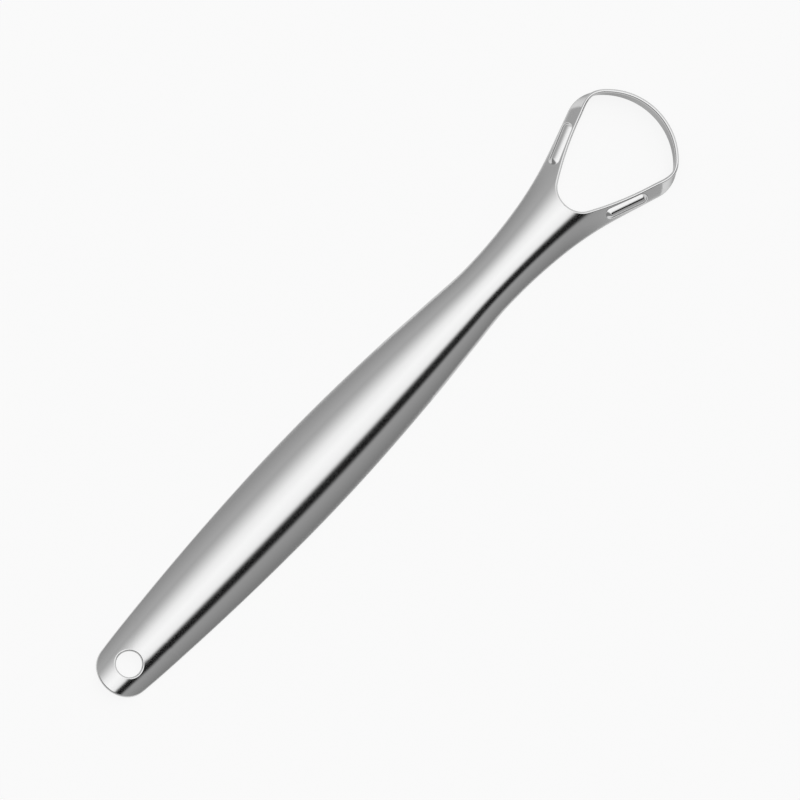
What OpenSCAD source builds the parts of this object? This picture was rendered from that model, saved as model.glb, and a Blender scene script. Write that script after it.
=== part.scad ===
// Tongue scraper pressed from one stainless sheet: an arched, hollow-backed handle that opens into
// two ribbed arms, which twist up on edge into a round scraping bow.
// Length runs along X, up is Z, and the tool lies on its long edges with the hollow side down.
// Every zone of the pressing is a solid of its own, and neighbours meet face to face.

/* [Whole tool] */
// Length from the rounded tail to the tip of the bow
overall_l = 150; // [140:0.5:165]
// Thickness of the stainless sheet
sheet_t = 0.7; // [0.5:0.05:0.9]
// Slope of the arched section at its long edges, in degrees
arch_angle = 46; // [38:1:55]

/* [Tail] */
// Radius of the rounded tail
tail_r = 5.3; // [4.5:0.1:6]
// Angle at which the two sides leave the rounded tail, in degrees
tail_taper = 7; // [4:0.5:9]
// Slope of the flatter arch at the tail, in degrees
tail_arch_angle = 43; // [36:1:50]
// Diameter of the hang hole
hole_d = 4.8; // [3.5:0.1:6]
// Distance from the end of the tail to the centre of the hang hole
hole_x = 6.1; // [5:0.1:8]
// Distance from the end of the tail to where the grip begins
tail_l = 14; // [11:0.5:20]

/* [Handle] */
// Width of the handle at its widest
grip_w = 15.7; // [13:0.1:18]
// Distance from the end of the tail to the widest place
grip_x = 53.5; // [45:0.5:60]
// Length of the slim neck, from the end of the grip to the start of the flared yoke
neck_l = 29; // [21:0.5:38]
// Width of the neck at its narrowest
neck_w = 10.4; // [9:0.1:12]
// Distance from the narrowest place of the neck to the crotch
neck_to_crotch = 20.5; // [18:0.5:24]
// Distance from the start of the flared yoke to the crotch
yoke_l = 12; // [8:0.5:15]

/* [Head] */
// Distance from the crotch of the fork to the tip of the bow
head_l = 25.3; // [23:0.1:28]
// Radius of the crotch between the two arms
crotch_r = 4.3; // [3.5:0.1:5]
// Angle between the axis and the inner edge where it leaves the crotch, in degrees
crotch_exit_angle = 29; // [25:0.5:32]
// Width over the two arms where the bow begins
arm_w = 23; // [21.5:0.1:24.5]
// Width of each arm where the bow begins, seen from above
arm_strip_w = 2.5; // [2.1:0.05:3]
// Angle of the straight arms to the axis, in degrees
arm_angle = 18; // [15:0.5:20]
// Length of the straight stretch of the outer edge of an arm, along the axis
arm_straight_l = 7; // [5:0.5:8]

/* [Bow] */
// Distance from the start of the bow to its tip
bow_l = 11; // [10.4:0.1:12]
// Outer radius of the round part of the bow
bow_r = 12.85; // [12.2:0.05:13.2]
// Height of the bow, whose strip stands on edge
bow_h = 3.5; // [2.8:0.1:3.8]
// Half the angle that the round part covers, in degrees
bow_half_angle = 48; // [43:1:54]
// How far the lower edge stands outside the upper one at the two ends of the round part
bow_lean = 0.2; // [0:0.05:0.6]

/* [Ribs] */
// Length of the stiffening rib pressed into each arm
rib_l = 8.6; // [6:0.1:9.2]
// Width of the rib
rib_w = 2.1; // [1.4:0.05:2.2]
// Height of the rib over the outer face of the arm
rib_h = 0.6; // [0.3:0.05:0.7]
// Distance from the end of the rib to where the bow begins
rib_to_bow = 1.9; // [1.3:0.05:2.4]

/* [Hidden] */

// Steps of the curved faces
arch_steps = 28;
strip_steps = 8;
edge_steps = 4;
tail_rings = 9;
grip_rings = 18;
neck_rings = 11;
yoke_rings = 7;
crotch_rings = 8;
arm_rings = 12;
corner_rings = 12;
round_rings = 12;
rib_end_steps = 6;
rib_across_steps = 8;
hole_faces = 64;
// Last ring of an arm, where the bow begins
last_ring = crotch_rings + arm_rings;

// Overrun of the cuts
cut_over = 1;
// Angle of the first ring of a round end, which closes it
close_angle = 3;
// Steps for measuring the run of an edge: along the tool, and as a share of one stretch of a curve
run_step = 0.01 * sheet_t;
run_share = 0.007;

// How the half width grows from the tail to the widest place
tail_to_grip_shares = [[0, 0], [0.25, 0.42], [0.5, 0.72], [0.75, 0.915], [1, 1]];
// How it shrinks from the widest place to the neck
grip_to_neck_shares = [[0, 0], [0.2, 0.045], [0.4, 0.19], [0.6, 0.415], [0.8, 0.73], [1, 1]];
// How it grows from the neck to the straight arms
neck_to_arm_shares = [[0, 0], [0.2, 0.03], [0.4, 0.135], [0.6, 0.315], [0.8, 0.6], [1, 1]];
// How hard the inner and the outer edge pull round the corner, against the chord of that corner
inner_corner_share = 1.4;
outer_corner_share = 1.07;
// Power by which the places on the outer edge of an arm crowd towards the crotch
outer_crowd_share = 1.15;
// How much narrower than its outside the hollow under a rib is
rib_hollow_share = 0.6;

// Half the sheet, which is also the radius of its tumbled edges
half_t = sheet_t / 2;
// Places along the tool
crotch_x = overall_l - head_l;
neck_x = crotch_x - neck_to_crotch;
yoke_x = crotch_x - yoke_l;
grip_end_x = yoke_x - neck_l;
bow_x = overall_l - bow_l;
arm_x = bow_x - arm_straight_l;
bow_centre_x = overall_l - bow_r;
tail_tangent_x = tail_r - tail_r * sin(tail_taper);
// Centre line of the sheet at the crotch
crotch_mid_x = crotch_x - half_t;
// Width of the opening between the arms where the bow begins
opening_w = arm_w - 2 * arm_strip_w;

function unit(v) = v / norm(v);
function mix(a, b, u) = a + (b - a) * u;
function ease(u) = u * u * (3 - 2 * u);

// Cubic from a to b with the slopes ta and tb
function hermite(a, ta, b, tb, u) =
    a * (1 + 2 * u) * pow(1 - u, 2) + ta * u * pow(1 - u, 2)
    + b * u * u * (3 - 2 * u) + tb * u * u * (u - 1);

// Slope of a table at its row i, with the slopes at its two ends given
function table_slope(table, first, last, i) =
    i == 0 ? first
    : i == len(table) - 1 ? last
    : (table[i + 1][1] - table[i - 1][1]) / (table[i + 1][0] - table[i - 1][0]);

// Smooth curve through a table of shares
function smooth(table, first, last, u) =
    let (
        i = max([for (k = [0 : len(table) - 2]) table[k][0] <= u ? k : 0]),
        run = table[i + 1][0] - table[i][0]
    )
    hermite(
        table[i][1], table_slope(table, first, last, i) * run,
        table[i + 1][1], table_slope(table, first, last, i + 1) * run,
        (u - table[i][0]) / run
    );

// Half width between two places, with the slopes of the edge at both
function half_between(x, x0, half0, slope0, x1, half1, slope1, table) =
    let (k = (x1 - x0) / (half1 - half0))
    mix(half0, half1, smooth(table, slope0 * k, slope1 * k, (x - x0) / (x1 - x0)));

// Half width over the outside of the arch at x, where the rounding of the tail doesn't count
function half_w(x) =
    x < tail_tangent_x ? tail_r * cos(tail_taper) + (x - tail_tangent_x) * tan(tail_taper)
    : x < grip_x ? half_between(x, tail_tangent_x, tail_r * cos(tail_taper), tan(tail_taper),
        grip_x, grip_w / 2, 0, tail_to_grip_shares)
    : x < neck_x ? half_between(x, grip_x, grip_w / 2, 0, neck_x, neck_w / 2, 0, grip_to_neck_shares)
    : x < arm_x ? half_between(x, neck_x, neck_w / 2, 0,
        arm_x, arm_w / 2 - arm_straight_l * tan(arm_angle), tan(arm_angle), neck_to_arm_shares)
    : arm_w / 2 + (x - bow_x) * tan(arm_angle);

// Slope of the arch at its edges, which is flatter at the tail
function edge_angle(x) = mix(tail_arch_angle, arch_angle, ease(min(x / grip_x, 1)));

// Radius of the middle of the sheet, and the height of its centre, in the section at x
function arch_r(x) = (half_w(x) - half_t) / sin(edge_angle(x));
function arch_z(x) = half_t - arch_r(x) * cos(edge_angle(x));

// Point of the middle of the sheet above the place x, y, and the way out of its convex face
function on_sheet(x, y) = [x, y, arch_z(x) + sqrt(pow(arch_r(x), 2) - y * y)];
function out_of(x, y) = [0, y / arch_r(x), sqrt(1 - pow(y / arch_r(x), 2))];

// Half width of the middle of the sheet, with the tail rounded
function mid_half(x) =
    x < tail_tangent_x
    ? sqrt(pow(tail_r - half_t, 2) - pow(tail_r - x, 2))
    : half_w(x) - half_t;

// One ring round the sheet: over the convex face, round one edge, back under it and round the other.
// run0 and run1 are the ways in which the two edges run.
function ring(mids, outs, run0, run1) =
    let (
        n = len(mids) - 1,
        off0 = unit(cross(run0, outs[0])),
        off1 = unit(cross(outs[n], run1))
    )
    concat(
        [for (j = [0 : n]) mids[j] + half_t * outs[j]],
        [for (k = [1 : edge_steps - 1]) let (a = 180 * k / edge_steps)
            mids[n] + half_t * (cos(a) * outs[n] + sin(a) * off1)],
        [for (j = [n : -1 : 0]) mids[j] - half_t * outs[j]],
        [for (k = [1 : edge_steps - 1]) let (a = 180 * k / edge_steps)
            mids[0] + half_t * (sin(a) * off0 - cos(a) * outs[0])]
    );

// Faces that close a ring at a seam: a strip across the sheet and the two rounded edges
function seam_faces(n) =
    let (bottom = n + edge_steps, last = 2 * n + 2 * edge_steps - 1)
    concat(
        [for (j = [0 : n - 1]) [j, j + 1, bottom + n - j - 1, bottom + n - j]],
        [[for (k = [n : bottom]) k]],
        [concat([for (k = [bottom + n : last]) k], [0])]
    );

// Faces that close a ring at a tip, where the two rounded edges meet
function tip_faces(n) =
    let (bottom = n + edge_steps, last = 2 * n + 2 * edge_steps - 1)
    concat(
        [concat([for (k = [0 : n + 1]) k], [last])],
        [for (k = [1 : edge_steps - 2]) [n + k, n + k + 1, last - k, last - k + 1]],
        [[for (k = [bottom - 1 : bottom + n + 1]) k]]
    );

function shifted(faces, by) = [for (f = faces) [for (k = f) k + by]];
function turned(faces) = [for (f = faces) [for (k = [len(f) - 1 : -1 : 0]) f[k]]];

// Skin over a row of rings, closed at both ends by the faces given
module skin(rings, first_faces, last_faces) {
    m = len(rings[0]);
    polyhedron(
        points = [for (r = rings, p = r) p],
        faces = concat(
            turned(first_faces),
            [for (i = [0 : len(rings) - 2], j = [0 : m - 1], half = [0, 1])
                let (a = i * m + j, b = i * m + (j + 1) % m)
                half == 0 ? [a, b, b + m] : [a, b + m, a + m]],
            shifted(last_faces, (len(rings) - 1) * m)
        ),
        convexity = 8
    );
}

// Ring across the whole arch at x
function arch_ring(x) =
    let (
        half = mid_half(x),
        reach = asin(half / arch_r(x)),
        rows = [for (j = [0 : arch_steps]) arch_r(x) * sin(reach * (2 * j / arch_steps - 1))],
        run = on_sheet(x + run_step, mid_half(x + run_step)) - on_sheet(x, half)
    )
    ring(
        [for (y = rows) on_sheet(x, y)],
        [for (y = rows) out_of(x, y)],
        [run.x, -run.y, run.z],
        run
    );

// Stretch of the arch between two places
module arch_stretch(x0, x1, rings) {
    skin(
        [for (i = [0 : rings]) arch_ring(mix(x0, x1, i / rings))],
        seam_faces(arch_steps),
        seam_faces(arch_steps)
    );
}

// The frame's origin is under the middle of the tool, on the plane that it lies on
module centred() {
    translate([-overall_l / 2, 0, 0]) children();
}

// Rounded end of the handle with the hang hole
module tail_end() {
    round_xs = [for (i = [0 : tail_rings])
        tail_r - (tail_r - half_t) * cos(mix(close_angle, 90 - tail_taper, i / tail_rings))];
    side_xs = [for (i = [1 : tail_rings]) mix(round_xs[tail_rings], tail_l, i / tail_rings)];
    color("silver") centred()
        difference() {
            skin(
                [for (x = concat(round_xs, side_xs)) arch_ring(x)],
                tip_faces(arch_steps),
                seam_faces(arch_steps)
            );
            // The arch is never as high as the tail's radius
            translate([hole_x, 0, -cut_over])
                cylinder(h = tail_r + 2 * cut_over, d = hole_d, $fn = hole_faces);
        }
}

// Long arched part that the hand holds
module grip() {
    color("gainsboro") centred() arch_stretch(tail_l, grip_end_x, grip_rings);
}

// Slim stretch behind the head
module neck() {
    color("silver") centred() arch_stretch(grip_end_x, yoke_x, neck_rings);
}

// Flared stretch that carries both arms
module yoke() {
    color("gainsboro") centred() arch_stretch(yoke_x, crotch_mid_x, yoke_rings);
}

// Inner edge of the left arm in plan, on the middle of the sheet: round the crotch, then along the arm
function crotch_edge(a) = [crotch_x + crotch_r - (crotch_r + half_t) * cos(a), (crotch_r + half_t) * sin(a)];
function arm_edge(u) =
    let (
        start = crotch_edge(90 - crotch_exit_angle),
        end = [bow_x, opening_w / 2 + half_t / cos(arm_angle)],
        l = end.x - start.x
    )
    hermite(start, [l, l * tan(crotch_exit_angle)], end, [l, l * tan(arm_angle)], u);

// The same edge as one curve, where i counts the rings from the crotch
function inner_edge(i) =
    i < crotch_rings
    ? crotch_edge((90 - crotch_exit_angle) * i / crotch_rings)
    : arm_edge((i - crotch_rings) / arm_rings);

// Way in which the inner edge runs at ring i
function inner_run(i) =
    let (
        to = inner_edge(min(i + run_share, last_ring)),
        from = inner_edge(i - run_share)
    )
    on_sheet(to.x, to.y) - on_sheet(from.x, from.y);

// Place on the outer edge that belongs to a ring: both edges start and end in line
function outer_x(i) = mix(crotch_mid_x, bow_x, pow(i / last_ring, outer_crowd_share));

// Ring across the left arm, from its inner edge to its outer edge
function arm_ring(i) =
    let (
        in_xy = inner_edge(i),
        out_x = outer_x(i),
        in_a = asin(in_xy.y / arch_r(in_xy.x)),
        places = [for (j = [0 : strip_steps]) let (
            w = j / strip_steps,
            x = mix(in_xy.x, out_x, w),
            a = mix(in_a, edge_angle(out_x), w))
            [x, arch_r(x) * sin(a)]],
        out_to = out_x + run_step
    )
    ring(
        [for (p = places) on_sheet(p.x, p.y)],
        [for (p = places) out_of(p.x, p.y)],
        inner_run(i),
        on_sheet(out_to, mid_half(out_to)) - on_sheet(out_x, mid_half(out_x))
    );

// Point of the middle of the sheet that lies midway between the two edges of the left arm
function arm_middle(x) =
    let (from = arm_edge(0).x, inner = arm_edge((x - from) / (bow_x - from)))
    on_sheet(x, (inner.y + mid_half(x)) / 2);

// Frame of the rib on the left arm: it runs straight, midway between the two edges.
// Its length and width are measured over its round ends and sides.
rib_run = rib_l - rib_w;
rib_end = arm_middle(bow_x - rib_to_bow - rib_w / 2);
rib_along = unit(rib_end - arm_middle(rib_end.x - rib_run));
rib_start = rib_end - rib_run * rib_along;
rib_middle = (rib_start + rib_end) / 2;
rib_up = out_of(rib_middle.x, rib_middle.y);
rib_across = unit(cross(rib_up, rib_along));

// Outline of the rib: places along it, from one round end to the other, with the half width there
rib_rows = concat(
    [for (i = [0 : rib_end_steps]) let (a = mix(close_angle, 90, i / rib_end_steps))
        [-rib_w / 2 * cos(a), rib_w / 2 * sin(a)]],
    [for (i = [0 : rib_end_steps]) let (a = mix(90, close_angle, i / rib_end_steps))
        [rib_run + rib_w / 2 * cos(a), rib_w / 2 * sin(a)]]
);

// Point p along and q across the rib, raised to the circle of the arch that is off the middle of the sheet
function on_rib(p, q, off) =
    let (
        base = rib_start + p * rib_along + q * rib_across,
        from_centre = base - [base.x, 0, arch_z(base.x)],
        b = from_centre * rib_up,
        rise = sqrt(b * b - from_centre * from_centre + pow(arch_r(base.x) + off, 2)) - b
    )
    base + rise * rib_up;

// How far the rib stands up at p, q, where wide is its half width: a round back with steep sides
function rib_rise(p, q, wide) =
    let (
        beside = norm([p - min(max(p, 0), rib_run), q]),
        s = min(beside / wide, 1)
    )
    rib_h * sqrt(1 - s * s);

// Window that the rib fills in the arm
module rib_window() {
    m = len(rib_rows);
    edge = concat(
        [for (r = rib_rows) [r[0], r[1]]],
        [for (i = [m - 1 : -1 : 0]) [rib_rows[i][0], -rib_rows[i][1]]]
    );
    n = len(edge);
    polyhedron(
        points = [for (side = [-1, 1], e = edge)
            rib_start + e[0] * rib_along + e[1] * rib_across + side * (half_t + cut_over) * rib_up],
        faces = concat(
            [[for (k = [n - 1 : -1 : 0]) k]],
            [for (k = [0 : n - 1]) [k, (k + 1) % n, n + (k + 1) % n, n + k]],
            [[for (k = [0 : n - 1]) n + k]]
        ),
        convexity = 4
    );
}

// Rib itself: a raised back over a narrower hollow
module rib_shell() {
    n = rib_across_steps;
    rings = [for (row = rib_rows) concat(
        [for (j = [0 : n]) let (q = row[1] * sin(90 * (2 * j / n - 1)))
            on_rib(row[0], q, half_t + rib_rise(row[0], q, rib_w / 2))],
        [for (j = [n : -1 : 0]) let (q = row[1] * sin(90 * (2 * j / n - 1)))
            on_rib(row[0], q, rib_rise(row[0], q, rib_w / 2 * rib_hollow_share) - half_t)]
    )];
    cap = [for (j = [0 : n - 1]) [j, j + 1, 2 * n - j, 2 * n + 1 - j]];
    skin(rings, cap, cap);
}

module arm() {
    difference() {
        skin([for (i = [0 : last_ring]) arm_ring(i)], seam_faces(strip_steps), seam_faces(strip_steps));
        rib_window();
    }
}

module left_arm() {
    color("lightgray") centred() arm();
}

module right_arm() {
    color("lightgray") centred() mirror([0, 1, 0]) arm();
}

module left_rib() {
    color("whitesmoke") centred() rib_shell();
}

module right_rib() {
    color("whitesmoke") centred() mirror([0, 1, 0]) rib_shell();
}

// The strip of the bow: its upper edge carries on from the inner edge of the arm,
// its lower edge from the outer one. The lower edge leans out by lean at the ends of the round part.
bow_mid_r = bow_r - half_t;
function on_bow(a, z, lean) =
    let (reach = bow_mid_r + lean * pow(a / bow_half_angle, 2))
    [bow_centre_x + reach * cos(a), reach * sin(a), z];

// Corner of one edge, from the arm to the round part of the bow
function corner(start, before, z, lean, pull, u) =
    let (
        end = on_bow(bow_half_angle, z, lean),
        after = on_bow(bow_half_angle * (1 - run_share), z, lean),
        l = norm(end - start) * pull
    )
    hermite(start, unit(start - before) * l, end, unit(after - end) * l, u);

// Point w across the strip of the bow at s, where s runs over the corner up to 1 and to the tip at 2
function on_strip(s, w) =
    let (
        in_end = arm_edge(1),
        in_before = arm_edge(1 - run_share),
        before_x = bow_x - run_step,
        a0 = asin(in_end.y / arch_r(bow_x)),
        start_y = arch_r(bow_x) * sin(mix(a0, arch_angle, w)),
        start = on_sheet(bow_x, start_y),
        top0 = on_sheet(bow_x, in_end.y),
        foot0 = on_sheet(bow_x, mid_half(bow_x)),
        out_before = on_sheet(before_x, mid_half(before_x)),
        top = s < 1
            ? corner(top0, on_sheet(in_before.x, in_before.y), bow_h - half_t, 0, inner_corner_share, s)
            : on_bow(bow_half_angle * (2 - s), bow_h - half_t, 0),
        foot = s < 1
            ? corner(foot0, out_before, half_t, bow_lean, outer_corner_share, s)
            : on_bow(bow_half_angle * (2 - s), half_t, bow_lean)
    )
    mix(top, foot, w) + (start - mix(top0, foot0, w)) * (1 - ease(min(s, 1)));

// Ring of the bow at s
function bow_ring(s) =
    let (
        ws = [for (j = [0 : strip_steps]) j / strip_steps],
        mids = [for (w = ws) on_strip(s, w)],
        runs = [for (w = ws) on_strip(s + run_share, w) - on_strip(s - run_share, w)],
        outs = [for (j = [0 : strip_steps])
            unit(cross(runs[j], mids[min(j + 1, strip_steps)] - mids[max(j - 1, 0)]))]
    )
    ring(mids, outs, runs[0], runs[strip_steps]);

function mirrored(r) = [for (p = r) [p.x, -p.y, p.z]];

// The strip that scrapes, on edge between the two arms
module scraping_bow() {
    half = concat(
        [arm_ring(last_ring)],
        [for (i = [1 : corner_rings]) bow_ring(i / corner_rings)],
        [for (i = [1 : round_rings]) bow_ring(1 + i / round_rings)]
    );
    n = len(half);
    color("white") centred()
        skin(
            concat(half, [for (i = [n - 2 : -1 : 0]) mirrored(half[i])]),
            seam_faces(strip_steps),
            seam_faces(strip_steps)
        );
}

tail_end();
grip();
neck();
yoke();
left_arm();
right_arm();
left_rib();
right_rib();
scraping_bow();
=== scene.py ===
# %% [markdown]
# # A tongue scraper, pressed from one stainless sheet
# The tool is a strip of 0.7 mm steel that was blanked, punched, pressed into an arch and turned up
# on edge at the head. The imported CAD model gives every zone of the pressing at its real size. Here
# each zone is made again as a finer sheet with rounded, tumbled edges and a satin finish.

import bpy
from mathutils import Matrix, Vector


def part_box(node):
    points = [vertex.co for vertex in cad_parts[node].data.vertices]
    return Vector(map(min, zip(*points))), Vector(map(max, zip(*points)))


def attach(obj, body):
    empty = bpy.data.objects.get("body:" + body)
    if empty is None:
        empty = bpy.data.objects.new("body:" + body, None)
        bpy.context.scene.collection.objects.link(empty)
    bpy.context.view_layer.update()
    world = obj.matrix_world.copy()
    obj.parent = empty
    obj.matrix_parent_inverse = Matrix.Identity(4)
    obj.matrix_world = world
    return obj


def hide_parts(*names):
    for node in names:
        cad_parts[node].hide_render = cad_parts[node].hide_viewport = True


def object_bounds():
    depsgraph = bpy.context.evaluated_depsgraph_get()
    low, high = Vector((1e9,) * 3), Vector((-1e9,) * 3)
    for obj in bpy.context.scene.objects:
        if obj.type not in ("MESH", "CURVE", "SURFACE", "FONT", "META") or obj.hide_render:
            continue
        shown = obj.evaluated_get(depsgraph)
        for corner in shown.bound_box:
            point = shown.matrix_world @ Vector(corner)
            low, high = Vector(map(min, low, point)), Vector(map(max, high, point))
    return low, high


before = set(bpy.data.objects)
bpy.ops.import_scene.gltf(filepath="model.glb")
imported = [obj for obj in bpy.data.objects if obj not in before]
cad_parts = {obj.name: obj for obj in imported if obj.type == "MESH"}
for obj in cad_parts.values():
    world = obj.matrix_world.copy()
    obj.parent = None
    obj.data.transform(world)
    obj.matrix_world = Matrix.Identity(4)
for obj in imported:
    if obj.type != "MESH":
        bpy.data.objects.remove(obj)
cad_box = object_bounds()
print("zones of the pressing:", sorted(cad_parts))

# %% What the lesson uses
import math

import bmesh
import bpy
from mathutils import Matrix, Vector

mm = 0.001

# %% [markdown]
# ## The sheet's middle surface
# A pressing is thin, so it is easiest to describe by the surface halfway through the sheet. Across
# the handle that surface is an arc of a circle, and along it the arc widens and narrows. One set of
# formulas serves every zone, so neighbouring pieces meet without a step. A free-hand model would
# need its seams matched by eye.

# %% Sizes of the pressing
overall_l = 150 * mm
sheet_t = 0.7 * mm
arch_angle = math.radians(46)

tail_r = 5.3 * mm
tail_taper = math.radians(7)
tail_arch_angle = math.radians(43)
hole_r = 2.4 * mm
hole_x = 6.1 * mm

grip_w = 15.7 * mm
grip_x = 53.5 * mm
neck_w = 10.4 * mm
neck_to_crotch = 20.5 * mm

head_l = 25.3 * mm
crotch_r = 4.3 * mm
crotch_exit_angle = math.radians(29)
arm_w = 23 * mm
arm_strip_w = 2.5 * mm
arm_angle = math.radians(18)
arm_straight_l = 7 * mm

bow_l = 11 * mm
bow_r = 12.85 * mm
bow_h = 3.5 * mm
bow_lean = 0.2 * mm
bow_half_angle = math.radians(48)

rib_l = 8.6 * mm
rib_w = 2.1 * mm
rib_h = 0.6 * mm
rib_to_bow = 1.9 * mm
print("a sheet of", round(sheet_t / mm, 2), "mm, for a tool", round(overall_l / mm, 1), "mm long")

# %% Places along the tool, measured from the end of the tail
half_t = sheet_t / 2
crotch_x = overall_l - head_l
neck_x = crotch_x - neck_to_crotch
bow_x = overall_l - bow_l
arm_x = bow_x - arm_straight_l
bow_centre_x = overall_l - bow_r
tail_tangent_x = tail_r - tail_r * math.sin(tail_taper)
crotch_mid_x = crotch_x - half_t
opening_w = arm_w - 2 * arm_strip_w
origin_place = Vector((overall_l / 2, 0, 0))


def seam_after(node):
    """Where a zone ends towards the head, read from the frame."""
    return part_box(node)[1].x + overall_l / 2


tail_end_x = seam_after("tail_end")
grip_end_x = seam_after("grip")
yoke_x = seam_after("neck")
print("seams at", [round(x / mm, 2) for x in (tail_end_x, grip_end_x, yoke_x)], "mm")


# %% Curves
def mix(a, b, u):
    return a + (b - a) * u


def ease(u):
    """From 0 to 1, level at both ends."""
    return u * u * (3 - 2 * u)


def hermite(a, ta, b, tb, u):
    """Cubic from a to b that leaves along ta and arrives along tb."""
    stay = 1 - u
    return a * ((1 + 2 * u) * stay * stay) + ta * (u * stay * stay) + b * ease(u) + tb * (u * u * (u - 1))


def smooth(table, first, last, u):
    """Smooth curve through a table of shares, with the slopes at its two ends given."""
    i = max(k for k in range(len(table) - 1) if table[k][0] <= u or k == 0)

    def slope(k):
        if k == 0:
            return first
        if k == len(table) - 1:
            return last
        return (table[k + 1][1] - table[k - 1][1]) / (table[k + 1][0] - table[k - 1][0])

    run = table[i + 1][0] - table[i][0]
    here = (u - table[i][0]) / run
    return hermite(table[i][1], slope(i) * run, table[i + 1][1], slope(i + 1) * run, here)


# %% How wide the tool is
# Each pair is a share of the way from one main place to the next, and the share of the change in
# width that is made there.
tail_to_grip_shares = [(0, 0), (0.25, 0.42), (0.5, 0.72), (0.75, 0.915), (1, 1)]
grip_to_neck_shares = [(0, 0), (0.2, 0.045), (0.4, 0.19), (0.6, 0.415), (0.8, 0.73), (1, 1)]
neck_to_arm_shares = [(0, 0), (0.2, 0.03), (0.4, 0.135), (0.6, 0.315), (0.8, 0.6), (1, 1)]


def half_between(x, start, end, table):
    """Half width between two places, each given as (place, half width, slope of the edge)."""
    (x0, half0, slope0), (x1, half1, slope1) = start, end
    k = (x1 - x0) / (half1 - half0)
    return mix(half0, half1, smooth(table, slope0 * k, slope1 * k, (x - x0) / (x1 - x0)))


def half_w(x):
    """Half width over the outside of the arch, where the rounding of the tail doesn't count."""
    at_tail = (tail_tangent_x, tail_r * math.cos(tail_taper), math.tan(tail_taper))
    at_grip = (grip_x, grip_w / 2, 0)
    at_neck = (neck_x, neck_w / 2, 0)
    at_arm = (arm_x, arm_w / 2 - arm_straight_l * math.tan(arm_angle), math.tan(arm_angle))
    if x < tail_tangent_x:
        return at_tail[1] + (x - tail_tangent_x) * at_tail[2]
    if x < grip_x:
        return half_between(x, at_tail, at_grip, tail_to_grip_shares)
    if x < neck_x:
        return half_between(x, at_grip, at_neck, grip_to_neck_shares)
    if x < arm_x:
        return half_between(x, at_neck, at_arm, neck_to_arm_shares)
    return arm_w / 2 + (x - bow_x) * math.tan(arm_angle)


print("half width at the tail's seam", round(half_w(tail_end_x) / mm, 2), "mm")


# %% The arch
def edge_angle(x):
    return mix(tail_arch_angle, arch_angle, ease(min(max(x, 0) / grip_x, 1)))


def arch_r(x):
    return (half_w(x) - half_t) / math.sin(edge_angle(x))


def arch_z(x):
    return half_t - arch_r(x) * math.cos(edge_angle(x))


def on_sheet(x, y):
    """Point of the middle surface above the place x, y."""
    return Vector((x, y, arch_z(x) + math.sqrt(arch_r(x) ** 2 - y * y)))


def out_of(x, y):
    """The way out of the convex face there."""
    side = y / arch_r(x)
    return Vector((0, side, math.sqrt(1 - side * side)))


def mid_half(x):
    """Half width of the middle surface, which ends half a sheet inside the outline."""
    if x < tail_tangent_x:
        return math.sqrt(max((tail_r - half_t) ** 2 - (tail_r - x) ** 2, 0))
    return half_w(x) - half_t


print("the arch of the grip has a radius of", round(arch_r(grip_x) / mm, 1), "mm")


# %% [markdown]
# ## How a zone becomes a sheet
# On the real tool the edge of the sheet is tumbled until it is nearly a half circle. A flat grid
# stands for the blank, and its two outermost columns are as wide as half the sheet is thick. The
# blank is pressed onto the middle surface, Solidify gives it its thickness, and a Bevel on the
# weighted edges turns the two outermost columns into the rounded edge. Where a zone meets its
# neighbour there is no weight, so that end stays a square cut.

# %% A clean start and a flat blank
def start_clean():
    if bpy.context.object is not None and bpy.context.object.mode != "OBJECT":
        bpy.ops.object.mode_set(mode="OBJECT")
    bpy.ops.object.select_all(action="DESELECT")


def grid_blank(name, rows, columns):
    """Flat grid of rows along X and columns along Y, one metre square, as a new piece."""
    start_clean()
    bpy.ops.mesh.primitive_grid_add(x_subdivisions=rows, y_subdivisions=columns, size=1)
    piece = bpy.context.object
    piece.name = name
    piece.data.name = name
    return piece


def row_of(i, rows, columns):
    """The vertices that lie across a blank at one of its rows."""
    return [i + j * (rows + 1) for j in range(columns + 1)]


def long_edges(rows, columns):
    """The vertices along each of the two long edges of a blank."""
    return [range(rows + 1), range((rows + 1) * columns, (rows + 1) * (columns + 1))]


# %% Picking vertices and weighing edges
def pick(piece, numbers):
    """Selects these vertices, and what lies between them, in edit mode."""
    bpy.ops.mesh.select_all(action="DESELECT")
    mesh = bmesh.from_edit_mesh(piece.data)
    mesh.verts.ensure_lookup_table()
    for k in numbers:
        mesh.verts[k].select = True
    mesh.select_flush(True)
    bmesh.update_edit_mesh(piece.data)


def weigh(piece, runs, weight=1.0):
    """Gives the edges along each run of vertices the weight that Bevel reads."""
    bpy.ops.object.mode_set(mode="EDIT")
    bpy.ops.mesh.select_mode(type="VERT")
    for run in runs:
        pick(piece, run)
        bpy.ops.transform.edge_bevelweight(value=weight)
    bpy.ops.object.mode_set(mode="OBJECT")


# %% Thickness, rounded edges and shading
# The rounding stops a little short of half the sheet, so the two sides of an edge don't run into
# each other.
nose_share = 0.97
nose_steps = 5
sharp_angle = math.radians(50)


def apply_modifier(piece, kind, **settings):
    modifier = piece.modifiers.new(kind.lower(), kind)
    for key, value in settings.items():
        setattr(modifier, key, value)
    bpy.context.view_layer.objects.active = piece
    bpy.ops.object.modifier_apply(modifier=modifier.name)


def thicken(piece):
    """Thickness, and edges rounded to almost a half circle."""
    apply_modifier(piece, "SOLIDIFY", thickness=sheet_t, offset=0, use_even_offset=True)
    apply_modifier(
        piece, "BEVEL", limit_method="WEIGHT", width=half_t * nose_share, segments=nose_steps,
        use_clamp_overlap=False,
    )


def smooth_faces(piece):
    start_clean()
    bpy.context.view_layer.objects.active = piece
    piece.select_set(True)
    bpy.ops.object.shade_smooth_by_angle(angle=sharp_angle)
    apply_modifier(piece, "WEIGHTED_NORMAL", keep_sharp=True)
    print(piece.name, len(piece.data.polygons), "faces")


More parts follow.
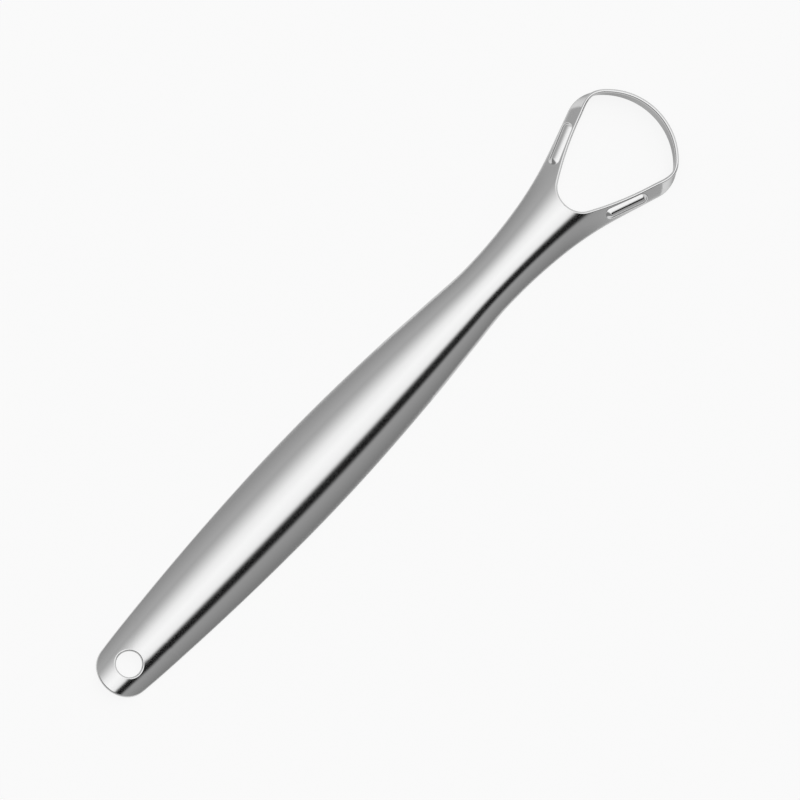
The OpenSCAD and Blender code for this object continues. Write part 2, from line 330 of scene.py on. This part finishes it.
# %% [markdown]
# ## Grip, neck and yoke
# These three zones are one long arch. It could be swept along a path with a changing profile, but
# the outline is what the eye follows here, so the flat blank is drawn in row by row to the outline
# first, and then pressed to its height.

# %% The rim beyond the middle surface
# A step along the edge, short enough to give the way that the edge runs.
run_step = 0.01 * sheet_t


def rim_y(x):
    """Half width, seen from above, of the middle surface carried on to the edge of the sheet."""
    here = on_sheet(x, mid_half(x))
    ahead = on_sheet(x + run_step, mid_half(x + run_step))
    outward = out_of(x, here.y).cross(ahead - here).normalized()
    return here.y + half_t * outward.y


print("half width over the grip's rim", round(rim_y(grip_x) / mm, 2), "mm")

# %% Drawing a blank in to the outline
arch_columns = 40
row_l = 1 * mm


def press(piece):
    """Lifts each vertex of a flat blank onto the arch above its place."""
    for v in piece.data.vertices:
        v.co.z = on_sheet(v.co.x + overall_l / 2, v.co.y).z


def arch_zone(name, x0, x1):
    rows = round((x1 - x0) / row_l)
    columns = arch_columns + 2
    piece = grid_blank(name, rows, columns)
    bpy.ops.object.mode_set(mode="EDIT")
    bpy.ops.mesh.select_mode(type="VERT")
    bpy.ops.transform.resize(value=(x1 - x0, 1, 1), center_override=(0, 0, 0))
    bpy.ops.transform.translate(value=((x0 + x1) / 2 - overall_l / 2, 0, 0))
    inner_w = arch_columns / columns
    for i in range(rows + 1):
        x = mix(x0, x1, i / rows)
        row = row_of(i, rows, columns)
        middle = (x - overall_l / 2, 0, 0)
        pick(piece, row[1:-1])
        bpy.ops.transform.resize(value=(1, 2 * mid_half(x) / inner_w, 1), center_override=middle)
        pick(piece, [row[0], row[-1]])
        bpy.ops.transform.resize(value=(1, 2 * rim_y(x), 1), center_override=middle)
    bpy.ops.object.mode_set(mode="OBJECT")
    press(piece)
    weigh(piece, long_edges(rows, columns))
    thicken(piece)
    smooth_faces(piece)
    return piece


# %% The three zones
grip = arch_zone("grip_sheet", tail_end_x, grip_end_x)
neck = arch_zone("neck_sheet", grip_end_x, yoke_x)
yoke = arch_zone("yoke_sheet", yoke_x, crotch_mid_x)


# %% [markdown]
# ## Tail end with the hang hole
# The tail is cut round and a hole is punched through it. A boolean cut would leave slivers round
# the hole, and they show on an arch that mirrors light. So the blank grows out of the hole instead.
# A circle is extruded outwards ring by ring, until it reaches the seam on one side and the free
# edge of the middle surface on the others. The free edge is extruded once more, by half a sheet,
# for the rounding. Every face stays a clean four-sided one.

# %% The outline seen from the hole
tail_seam_points = 24
tail_free_points = 84
ray_halvings = 40


def inside_tail(x, y):
    return 0 < x < tail_end_x and abs(y) < mid_half(x)


def ray_to_outline(angle):
    """Distance from the hole's centre to the edge of the middle surface, in one direction."""
    near, far = hole_r, tail_end_x
    for _ in range(ray_halvings):
        reach = (near + far) / 2
        if inside_tail(hole_x + reach * math.cos(angle), reach * math.sin(angle)):
            near = reach
        else:
            far = reach
    return near


def corner_angle():
    return math.atan2(mid_half(tail_end_x), tail_end_x - hole_x)


def tail_angles():
    """Directions round the hole: first those that meet the seam, then those that meet the free edge."""
    edge = corner_angle()
    seam = [mix(-edge, edge, i / tail_seam_points) for i in range(tail_seam_points)]
    free = [mix(edge, 2 * math.pi - edge, i / tail_free_points) for i in range(tail_free_points)]
    return seam + free


print("the corners of the tail lie at", round(math.degrees(corner_angle()), 1), "degrees from the hole")

# %% Rings round the hole
hole_rim = 0.3 * mm
tail_rings = 8
tiny = 1e-7


def tail_reach(angle):
    """Distance from the hole's centre to the seam or to the free edge of the middle surface."""
    off_axis = abs(math.atan2(math.sin(angle), math.cos(angle)))
    if off_axis <= corner_angle() + tiny:
        return (tail_end_x - hole_x) / math.cos(angle)
    return ray_to_outline(angle)


def tail_ring(k, angles):
    """Places of one ring in plan: 0 is the hole, the last one the edge of the middle surface."""
    places = []
    for angle in angles:
        r = hole_r if k == 0 else mix(hole_r + hole_rim, tail_reach(angle), (k - 1) / (tail_rings - 1))
        places.append((hole_x + r * math.cos(angle), r * math.sin(angle)))
    return places


def grow_rings(name, angles):
    """New piece: a circle extruded ring by ring, and each ring moved to its place on the arch."""
    start_clean()
    bpy.ops.mesh.primitive_circle_add(vertices=len(angles), radius=hole_r)
    piece = bpy.context.object
    piece.name = name
    piece.data.name = name
    bpy.ops.object.mode_set(mode="EDIT")
    bpy.ops.mesh.select_all(action="SELECT")
    for _ in range(tail_rings):
        bpy.ops.mesh.extrude_region_move()
    bpy.ops.object.mode_set(mode="OBJECT")
    for k in range(tail_rings + 1):
        for i, (x, y) in enumerate(tail_ring(k, angles)):
            piece.data.vertices[k * len(angles) + i].co = on_sheet(x, y) - origin_place
    return piece


# %% The rim of the tail
def rim_place(x, y):
    """The place half a sheet beyond x, y, where the rounded edge ends."""
    if x > tail_end_x - tiny:
        return tail_end_x, math.copysign(rim_y(tail_end_x), y)
    if x < tail_tangent_x:
        flat = Vector((x - tail_r, y, 0)).normalized()
    else:
        flat = Vector((-math.tan(tail_taper), math.copysign(1, y), 0)).normalized()
    along = Vector((-flat.y, flat.x, 0))
    here = on_sheet(x, y)
    ahead = on_sheet(x + along.x * run_step, y + along.y * run_step)
    outward = (ahead - here).cross(out_of(x, y)).normalized()
    return x + half_t * outward.x, y + half_t * outward.y


def add_rim(piece, count):
    """Extrudes the free part of the last ring onto the rim, and gives the new vertices."""
    last = tail_rings * count
    bpy.ops.object.mode_set(mode="EDIT")
    bpy.ops.mesh.select_mode(type="VERT")
    pick(piece, [last, *range(last + tail_seam_points, last + count)])
    bpy.ops.mesh.extrude_region_move()
    bpy.ops.object.mode_set(mode="OBJECT")
    rim = range(last + count, len(piece.data.vertices))
    for k in rim:
        place = piece.data.vertices[k].co + origin_place
        piece.data.vertices[k].co = on_sheet(*rim_place(place.x, place.y)) - origin_place
    return rim


# %% Growing the tail out of the hole
def tail_zone(name):
    """The tail's sheet, where a smaller weight keeps the hole's rounding inside its first ring."""
    angles = tail_angles()
    piece = grow_rings(name, angles)
    rim = add_rim(piece, len(angles))
    weigh(piece, [rim])
    weigh(piece, [range(len(angles))], hole_rim / half_t)
    thicken(piece)
    smooth_faces(piece)
    return piece


tail = tail_zone("tail_sheet")


# %% [markdown]
# ## The fork and the bow
# Past the crotch the strip is only 2.5 mm wide, and in the corners it turns from the slope of the
# arch up onto its edge. A path with a profile would twist about one line, while the real strip
# follows two edges that run quite differently. So a long grid is laid between the two edges, row
# by row, as a loft. The left arm is made first, and the right one is its mirror image.

# %% The inner edge of an arm
crotch_rows = 24
arm_rows = 110
last_row = crotch_rows + arm_rows


def crotch_edge(angle):
    reach = crotch_r + half_t
    return Vector((crotch_x + crotch_r - reach * math.cos(angle), reach * math.sin(angle)))


def arm_edge(u):
    start = crotch_edge(math.pi / 2 - crotch_exit_angle)
    end = Vector((bow_x, opening_w / 2 + half_t / math.cos(arm_angle)))
    run = end.x - start.x
    leave = Vector((run, run * math.tan(crotch_exit_angle)))
    arrive = Vector((run, run * math.tan(arm_angle)))
    return hermite(start, leave, end, arrive, u)


def inner_edge(i):
    if i < crotch_rows:
        return crotch_edge((math.pi / 2 - crotch_exit_angle) * i / crotch_rows)
    return arm_edge((i - crotch_rows) / arm_rows)


arm_reach = (arm_edge(1) - arm_edge(0)).length
print("straight from the round of the crotch to the bow it is", round(arm_reach / mm, 1), "mm")

# %% One row across an arm
# A small step along a curve gives its direction there. The power on the outer edge shifts its
# places a little towards the crotch.
run_share = 0.007
outer_crowd_share = 1.15


def with_rim(mids, outs, run0, run1):
    """A row of the strip with the two rim points added beyond its edges."""
    first = run0.cross(outs[0]).normalized()
    last = outs[-1].cross(run1).normalized()
    return [mids[0] + half_t * first, *mids, mids[-1] + half_t * last]


def arm_row(i, columns):
    inner = inner_edge(i)
    out_x = mix(crotch_mid_x, bow_x, (i / last_row) ** outer_crowd_share)
    in_angle = math.asin(inner.y / arch_r(inner.x))
    places = []
    for j in range(columns + 1):
        w = j / columns
        x = mix(inner.x, out_x, w)
        places.append((x, arch_r(x) * math.sin(mix(in_angle, edge_angle(out_x), w))))
    to, back = inner_edge(min(i + run_share, last_row)), inner_edge(i - run_share)
    inner_run = on_sheet(*to) - on_sheet(*back)
    ahead = out_x + run_step
    outer_run = on_sheet(ahead, mid_half(ahead)) - on_sheet(out_x, mid_half(out_x))
    mids = [on_sheet(x, y) for x, y in places]
    outs = [out_of(x, y) for x, y in places]
    return with_rim(mids, outs, inner_run, outer_run)


# %% The two edges of the bow
inner_corner_share = 1.4
outer_corner_share = 1.07


def on_bow(angle, z, lean):
    """Point on the round part, where an edge that leans stands out most at the two ends."""
    reach = bow_r - half_t + lean * (angle / bow_half_angle) ** 2
    return Vector((bow_centre_x + reach * math.cos(angle), reach * math.sin(angle), z))


def corner(start, before, z, lean, pull, u):
    """One edge on its way from the arm to the round part of the bow."""
    end = on_bow(bow_half_angle, z, lean)
    after = on_bow(bow_half_angle * (1 - run_share), z, lean)
    reach = (end - start).length * pull
    leave = (start - before).normalized() * reach
    return hermite(start, leave, end, (after - end).normalized() * reach, u)


def on_strip(s, w):
    """Middle of the strip: s runs over the corner up to 1 and to the tip at 2, w from top to foot."""
    in_end, in_before = arm_edge(1), arm_edge(1 - run_share)
    before_x = bow_x - run_step
    in_angle = math.asin(in_end.y / arch_r(bow_x))
    start = on_sheet(bow_x, arch_r(bow_x) * math.sin(mix(in_angle, arch_angle, w)))
    top0 = on_sheet(bow_x, in_end.y)
    foot0 = on_sheet(bow_x, mid_half(bow_x))
    if s < 1:
        out_before = on_sheet(before_x, mid_half(before_x))
        top = corner(top0, on_sheet(*in_before), bow_h - half_t, 0, inner_corner_share, s)
        foot = corner(foot0, out_before, half_t, bow_lean, outer_corner_share, s)
    else:
        top = on_bow(bow_half_angle * (2 - s), bow_h - half_t, 0)
        foot = on_bow(bow_half_angle * (2 - s), half_t, bow_lean)
    return mix(top, foot, w) + (start - mix(top0, foot0, w)) * (1 - ease(min(s, 1)))


# %% One row across the strip of the bow
bow_columns = 12


def bow_row(s):
    ws = [j / bow_columns for j in range(bow_columns + 1)]
    mids = [on_strip(s, w) for w in ws]
    runs = [on_strip(s + run_share, w) - on_strip(s - run_share, w) for w in ws]
    outs = []
    for j, run in enumerate(runs):
        across = mids[min(j + 1, bow_columns)] - mids[max(j - 1, 0)]
        outs.append(run.cross(across).normalized())
    return with_rim(mids, outs, runs[0], runs[-1])


print("middle surface of the tip", round((on_strip(2, 0) - on_strip(2, 1)).length / mm, 2), "mm high")


# %% Laying a long grid between the edges
def lay(name, lines):
    """Grid whose rows lie on these lines of points."""
    rows, columns = len(lines) - 1, len(lines[0]) - 1
    piece = grid_blank(name, rows, columns)
    for i, line in enumerate(lines):
        for k, point in zip(row_of(i, rows, columns), line):
            piece.data.vertices[k].co = point - origin_place
    weigh(piece, long_edges(rows, columns))
    return piece


def mirrored(line):
    return [Vector((p.x, -p.y, p.z)) for p in line]


def face_up(piece, toward):
    """Turns the sheet over if its middle face looks the wrong way, before it gets its thickness."""
    faces = piece.data.polygons
    if faces[len(faces) // 2].normal.dot(toward) < 0:
        start_clean()
        bpy.context.view_layer.objects.active = piece
        bpy.ops.object.mode_set(mode="EDIT")
        bpy.ops.mesh.select_all(action="SELECT")
        bpy.ops.mesh.flip_normals()
        bpy.ops.object.mode_set(mode="OBJECT")


# %% The arms and the bow
arm_columns = 44
corner_rows = 36
round_rows = 36

arm_lines = [arm_row(i, arm_columns) for i in range(last_row + 1)]
left_arm = lay("left_arm_sheet", arm_lines)
right_arm = lay("right_arm_sheet", [mirrored(line) for line in arm_lines])
half_bow = [arm_row(last_row, bow_columns)]
half_bow += [bow_row(i / corner_rows) for i in range(1, corner_rows + 1)]
half_bow += [bow_row(1 + i / round_rows) for i in range(1, round_rows + 1)]
bow = lay("bow_strip", half_bow + [mirrored(line) for line in reversed(half_bow[:-1])])
for strip, toward in ((left_arm, (0, 0, 1)), (right_arm, (0, 0, 1)), (bow, (1, 0, 0))):
    face_up(strip, Vector(toward))
    thicken(strip)
smooth_faces(bow)


# %% [markdown]
# ## The ribs
# A rib is raised in each arm to stiffen it. It could be a piece of its own laid on the arm, but on
# the real tool a punch lifts the sheet itself, so the metal runs on without a line. Here the arm's
# grid is fine enough for that: each vertex over the punch is lifted. The upper skin rises over the
# whole rib, in a long round flank on the inner side and a steep wall on the outer one, and the
# lower skin rises over the narrower hollow under it.

# %% Frame of the left rib
def arm_middle(x):
    """Point of the middle surface that lies midway between the two edges of the left arm."""
    start = arm_edge(0).x
    inner = arm_edge((x - start) / (bow_x - start))
    return on_sheet(x, (inner.y + mid_half(x)) / 2)


rib_run = rib_l - rib_w
rib_end = arm_middle(bow_x - rib_to_bow - rib_w / 2)
rib_along = (rib_end - arm_middle(rib_end.x - rib_run)).normalized()
rib_start = rib_end - rib_run * rib_along
rib_middle = (rib_start + rib_end) / 2
rib_up = out_of(rib_middle.x, rib_middle.y)
rib_across = rib_up.cross(rib_along).normalized()
to_rib = Matrix((rib_along, rib_across, rib_up)).transposed().inverted()
print("ribs run at", round(math.degrees(math.atan2(rib_along.y, rib_along.x)), 1), "degrees to the axis")

# %% The form of the punch
rib_crest_share = 0.3
rib_ridge_share = 0.1
rib_fillet = 0.05 * mm


def rib_rise(p, q, half):
    """Height of the punch at p along and q across, which runs out softly at its foot."""
    crest = rib_crest_share * half
    dp, dq = p - min(max(p, 0), rib_run), q - crest
    away = max(math.hypot(dp, dq), tiny)
    toward = dq / away
    reach = -crest * toward + math.sqrt((crest * toward) ** 2 - crest ** 2 + half ** 2)
    s = away / reach
    inner_side = 1 - s * s
    ridge = rib_ridge_share
    outer_side = 1 - (math.hypot(s, ridge) - ridge) / (math.hypot(1, ridge) - ridge)
    back = rib_h * mix(inner_side, outer_side, (1 + toward) / 2)
    return (back + math.hypot(back, rib_fillet)) / 2


crest_rise = rib_rise(0, rib_crest_share * rib_w / 2, rib_w / 2)
print("at its crest the punch lifts", round(crest_rise / mm, 2), "mm")

# %% Raising the ribs
rib_hollow_share = 0.6


def punch(piece, side):
    """Lifts the sheet over the punch, where side is 1 for the left arm and -1 for the right one."""
    highest = 0
    for v in piece.data.vertices:
        place = Vector((v.co.x + overall_l / 2, side * v.co.y, v.co.z))
        p, q, _ = to_rib @ (place - rib_start)
        off = math.hypot(place.y, place.z - arch_z(place.x)) - arch_r(place.x)
        above = rib_rise(p, q, rib_w / 2)
        below = rib_rise(p, q, rib_w / 2 * rib_hollow_share)
        lift = mix(below, above, min(max((off + half_t) / sheet_t, 0), 1))
        v.co += Vector((rib_up.x, side * rib_up.y, rib_up.z)) * lift
        highest = max(highest, lift)
    print(piece.name, "rib stands up", round(highest / mm, 2), "mm")
    smooth_faces(piece)


punch(left_arm, 1)
punch(right_arm, -1)

# %% [markdown]
# ## Satin stainless steel
# The sheet is tumbled after pressing, which leaves an even satin: sharp enough to mirror a lamp as
# a band, soft enough to blur its border. The grain is a shared node group. Metal has no colour of
# its own besides the tint of its mirror, so a neutral grey is right, and the roughness does the
# rest. The formula for a mirror makes metal almost white where it is seen at a grazing angle. A
# satin skin is too rough for that, so the tint there is less than half, and the face of the bow,
# which the camera sees nearly edge on, stays grey as on the real tool.

# %% A Math node from code
# To make, set and join a node takes several lines, so each kind that repeats gets a helper.
def maths(nodes, links, operation, *values):
    """Math node whose inputs are numbers or the outputs of other nodes."""
    node = nodes.new("ShaderNodeMath")
    node.operation = operation
    for socket, value in zip(node.inputs, values):
        if isinstance(value, (int, float)):
            socket.default_value = value
        else:
            links.new(value, socket)
    return node.outputs["Value"]


# %% A node group for the tumbled grain
grain_per_m = 2600
grain_detail = 4
noise_mean = 0.5
grain_sockets = [("Satin", "INPUT"), ("Spread", "INPUT"), ("Roughness", "OUTPUT"), ("Height", "OUTPUT")]


def grain_group():
    """Roughness that varies round the satin by the spread, and the height of the same grain."""
    group = bpy.data.node_groups.new("tumbled_grain", "ShaderNodeTree")
    for title, way in grain_sockets:
        group.interface.new_socket(title, in_out=way, socket_type="NodeSocketFloat")
    nodes, links = group.nodes, group.links
    start = nodes.new("NodeGroupInput")
    end = nodes.new("NodeGroupOutput")
    coords = nodes.new("ShaderNodeTexCoord")
    noise = nodes.new("ShaderNodeTexNoise")
    noise.inputs["Scale"].default_value = grain_per_m
    noise.inputs["Detail"].default_value = grain_detail
    links.new(coords.outputs["Object"], noise.inputs["Vector"])
    uneven = maths(nodes, links, "SUBTRACT", noise.outputs["Fac"], noise_mean)
    spread_and_satin = (start.outputs["Spread"], start.outputs["Satin"])
    links.new(maths(nodes, links, "MULTIPLY_ADD", uneven, *spread_and_satin), end.inputs["Roughness"])
    links.new(noise.outputs["Fac"], end.inputs["Height"])
    return group


tumbled_grain = grain_group()
print(tumbled_grain.name, "has", len(tumbled_grain.nodes), "nodes")

# %% The steel itself
satin = 0.14
satin_spread = 0.05
steel_tint = (0.66, 0.66, 0.66, 1)
grazing_tint = (0.45, 0.45, 0.45, 1)
grain_bump = 0.02
grain_depth = 0.002 * mm


def steel(name):
    material = bpy.data.materials.new(name)
    material.use_nodes = True
    nodes, links = material.node_tree.nodes, material.node_tree.links
    shader = nodes["Principled BSDF"]
    shader.inputs["Metallic"].default_value = 1
    shader.inputs["Base Color"].default_value = steel_tint
    shader.inputs["Specular Tint"].default_value = grazing_tint
    grain = nodes.new("ShaderNodeGroup")
    grain.node_tree = tumbled_grain
    grain.inputs["Satin"].default_value = satin
    grain.inputs["Spread"].default_value = satin_spread
    bump = nodes.new("ShaderNodeBump")
    bump.inputs["Strength"].default_value = grain_bump
    bump.inputs["Distance"].default_value = grain_depth
    links.new(grain.outputs["Roughness"], shader.inputs["Roughness"])
    links.new(grain.outputs["Height"], bump.inputs["Height"])
    links.new(bump.outputs["Normal"], shader.inputs["Normal"])
    return material


satin_steel = steel("satin_steel")
print(satin_steel.name, "with a roughness of", satin, "and a spread of", satin_spread)

# %% [markdown]
# ## The pieces take their places
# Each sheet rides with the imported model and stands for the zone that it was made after. An arm and
# its rib are two solids there. On the real tool they are one skin, so here one sheet stands for
# both. All pieces take their finish from the same slot, because there is only one metal.

# %% Each piece stands for its zone
stands_for = [
    (tail, ["tail_end"]), (grip, ["grip"]), (neck, ["neck"]), (yoke, ["yoke"]),
    (left_arm, ["left_arm", "left_rib"]), (right_arm, ["right_arm", "right_rib"]),
    (bow, ["scraping_bow"]),
]
for piece, nodes in stands_for:
    piece.data.materials.clear()
    piece.data.materials.append(satin_steel)
    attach(piece, "root")
    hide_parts(*nodes)
    print(piece.name, "stands for", ", ".join(nodes))

# %% [markdown]
# ## A tent of light
# Polished tools are photographed in a tent: white cloth overhead, greyer cloth down the sides, a
# dark end beyond the tail and a lighter one beyond the head, and one narrow black card beside the
# handle that draws a dark line along the arch. The arms of the fork face a little back towards the
# tail, and there the cloth low on both sides is one even grey. The tool is a long arch, so what
# counts is the angle round its long axis. The world holds the cloth as a ramp over that angle, with
# the card, the low sides and the two ends laid over it, and is free of noise. Area lamps could do
# the same, with more tuning.

# %% The cloth
# Each place of the cloth is an angle in degrees from straight up, positive to the right of the
# tool, and how bright the cloth is there.
tent_level = 1.41
cloth = [
    (-180, 0.24), (-90, 0.26), (-54, 0.39), (-49, 0.37), (-40, 0.48), (-17, 0.89), (0, 1.0),
    (18, 0.94), (26, 0.80), (50, 0.32), (90, 0.18), (180, 0.24),
]
full_turn = 360
straight_up_share = 0.5


def cloth_ramp(nodes):
    """Ramp over one turn round the tool, which starts and ends straight below it."""
    ramp = nodes.new("ShaderNodeValToRGB")
    stops = ramp.color_ramp.elements
    stops.remove(stops[-1])
    for k, (degrees, level) in enumerate(cloth):
        place = degrees / full_turn + straight_up_share
        stop = stops[0] if k == 0 else stops.new(place)
        stop.position = place
        stop.color = (level, level, level, 1)
    return ramp


print("cloth with", len(cloth), "places")

# %% Fading and greying
# The Mix node has a set of sockets for each kind of value. These are the numbers of those that it
# uses for colours.
mix_share_in = 0
mix_under_in = 6
mix_over_in = 7
mix_colour_out = 2


def fade(nodes, links, value, start, end):
    """0 at start, 1 at end and smooth between, also where end is the lower of the two."""
    node = nodes.new("ShaderNodeMapRange")
    node.interpolation_type = "SMOOTHSTEP"
    node.inputs["From Min"].default_value = start
    node.inputs["From Max"].default_value = end
    links.new(value, node.inputs["Value"])
    return node.outputs["Result"]


def toward_grey(nodes, links, share, colour, level):
    """Colour mixed with an even grey by a share."""
    node = nodes.new("ShaderNodeMix")
    node.data_type = "RGBA"
    links.new(share, node.inputs[mix_share_in])
    links.new(colour, node.inputs[mix_under_in])
    node.inputs[mix_over_in].default_value = (level, level, level, 1)
    return node.outputs[mix_colour_out]


# %% What lies over the cloth
# The card lies between two angles in degrees from straight up, and fades over a border on both
# sides of each. The low sides start to show at the first of their angles, and show in full from
# the second one on. X of a direction tells how far it points along the tool, from -1 straight past
# the tail to 1 straight past the head. Each pair of places along X is where a cover starts to show,
# and where it shows in full.
card_level = 0.0
card_from, card_to = 27.2, 47
card_border = 4.5
card_stops_at = (-0.35, -0.2)
low_side_level = 0.36
low_side_from, low_side_to = 45, 65
low_side_at = (0.12, -0.06)
tail_end_level = 0.2
tail_end_at = (-0.3, -0.6)
head_end_level = 0.6
head_end_at = (0.35, 0.75)


def over_card(nodes, links, angle, x):
    near, far, border = math.radians(card_from), math.radians(card_to), math.radians(card_border)
    past_near = fade(nodes, links, angle, near - border, near + border)
    before_far = fade(nodes, links, angle, far + border, far - border)
    across = maths(nodes, links, "MULTIPLY", past_near, before_far)
    return maths(nodes, links, "MULTIPLY", across, fade(nodes, links, x, *card_stops_at))


def over_low_sides(nodes, links, angle, x):
    either_side = maths(nodes, links, "ABSOLUTE", angle)
    down = fade(nodes, links, either_side, math.radians(low_side_from), math.radians(low_side_to))
    return maths(nodes, links, "MULTIPLY", down, fade(nodes, links, x, *low_side_at))


print("the card spans", round(card_to - card_from, 1), "degrees of the tent")


# %% Hanging the tent
def tent_world():
    world = bpy.data.worlds.new("tent")
    world.use_nodes = True
    bpy.context.scene.world = world
    nodes, links = world.node_tree.nodes, world.node_tree.links
    nodes.clear()
    coords = nodes.new("ShaderNodeTexCoord")
    apart = nodes.new("ShaderNodeSeparateXYZ")
    links.new(coords.outputs["Generated"], apart.inputs["Vector"])
    x, y, z = apart.outputs
    angle = maths(nodes, links, "ARCTAN2", maths(nodes, links, "MULTIPLY", y, -1), z)
    turns = maths(nodes, links, "MULTIPLY_ADD", angle, 1 / (2 * math.pi), straight_up_share)
    ramp = cloth_ramp(nodes)
    links.new(turns, ramp.inputs["Fac"])
    grey = ramp.outputs["Color"]
    covers = [
        (over_card(nodes, links, angle, x), card_level),
        (over_low_sides(nodes, links, angle, x), low_side_level),
        (fade(nodes, links, x, *tail_end_at), tail_end_level),
        (fade(nodes, links, x, *head_end_at), head_end_level),
    ]
    for share, level in covers:
        grey = toward_grey(nodes, links, share, grey, level)
    tent = nodes.new("ShaderNodeBackground")
    tent.inputs["Strength"].default_value = tent_level
    out = nodes.new("ShaderNodeOutputWorld")
    links.new(grey, tent.inputs["Color"])
    links.new(tent.outputs["Background"], out.inputs["Surface"])
    print("the tent has", len(covers), "covers over its cloth")


tent_world()

# %% [markdown]
# ## A pale floor
# The tool lies on white paper. Paper lit by the tent alone comes out light grey, so a share of the
# paper's light is its own, at a strength of 1, for the rays that look at it: those of the camera,
# and those that steel mirrors or that pass through. The rest is lit paper, which keeps the tool's
# soft shadow. Brighter lamps would whiten the floor as well, but would burn out the steel.

# %% White paper
floor_colour = (0.97, 0.97, 0.97, 1)
own_white_share = 0.85


def paper():
    material = bpy.data.materials.new("pale_floor")
    material.use_nodes = True
    nodes, links = material.node_tree.nodes, material.node_tree.links
    lit = nodes["Principled BSDF"]
    lit.inputs["Base Color"].default_value = floor_colour
    lit.inputs["Roughness"].default_value = 1
    lit.inputs["Specular IOR Level"].default_value = 0
    white = nodes.new("ShaderNodeEmission")
    white.inputs["Strength"].default_value = 1
    path = nodes.new("ShaderNodeLightPath")
    seen = maths(nodes, links, "ADD", path.outputs["Is Camera Ray"], path.outputs["Is Glossy Ray"])
    seen = maths(nodes, links, "ADD", seen, path.outputs["Is Transmission Ray"])
    seen = maths(nodes, links, "MINIMUM", seen, 1)
    both = nodes.new("ShaderNodeMixShader")
    share_in, lit_in, white_in = both.inputs
    links.new(maths(nodes, links, "MULTIPLY", seen, own_white_share), share_in)
    links.new(lit.outputs["BSDF"], lit_in)
    links.new(white.outputs["Emission"], white_in)
    links.new(both.outputs["Shader"], nodes["Material Output"].inputs["Surface"])
    return material


# %% Laying the floor
floor_w = 6


def pale_floor():
    start_clean()
    bpy.ops.mesh.primitive_plane_add(size=floor_w, location=(0, 0, cad_box[0].z))
    floor = bpy.context.object
    floor.name = "floor"
    floor.data.materials.append(paper())
    print(floor.name, "of", floor_w, "m, at a height of", round(cad_box[0].z / mm, 2), "mm")


pale_floor()
bpy.context.scene.view_settings.view_transform = "Standard"

# %% [markdown]
# ## Camera
# The photograph was taken with a long lens from above, leaning 14 degrees towards the tail, and
# the tool lies across it at 46.5 degrees. The camera is placed from those two angles and from the
# size of one pixel on the tool, so the render covers the same frame.

# %% Camera
lean = math.radians(14)
tool_turn = math.radians(46.5)
pixel = 0.18258 * mm
frame_pixels = 800
camera_distance = 2.0
clip_near_share = 0.01
clip_far_share = 10
sensor = 36
aim = Vector((1.63, -2.66, 2.3)) * mm


def place_camera():
    back = Vector((-math.sin(lean), 0, math.cos(lean)))
    head_way = Vector((math.cos(lean), 0, math.sin(lean)))
    left_way = Vector((0, 1, 0))
    right = math.cos(tool_turn) * head_way - math.sin(tool_turn) * left_way
    up = math.sin(tool_turn) * head_way + math.cos(tool_turn) * left_way
    camera = bpy.data.cameras.new("camera")
    camera.sensor_width = sensor
    camera.lens = sensor * camera_distance / (frame_pixels * pixel)
    camera.clip_start = camera_distance * clip_near_share
    camera.clip_end = camera_distance * clip_far_share
    stand = bpy.data.objects.new("camera", camera)
    bpy.context.scene.collection.objects.link(stand)
    matrix = Matrix((right, up, back)).transposed().to_4x4()
    matrix.translation = aim + back * camera_distance
    stand.matrix_world = matrix
    bpy.context.scene.camera = stand
    print("a lens of", round(camera.lens), "mm at", camera_distance, "m")


place_camera()
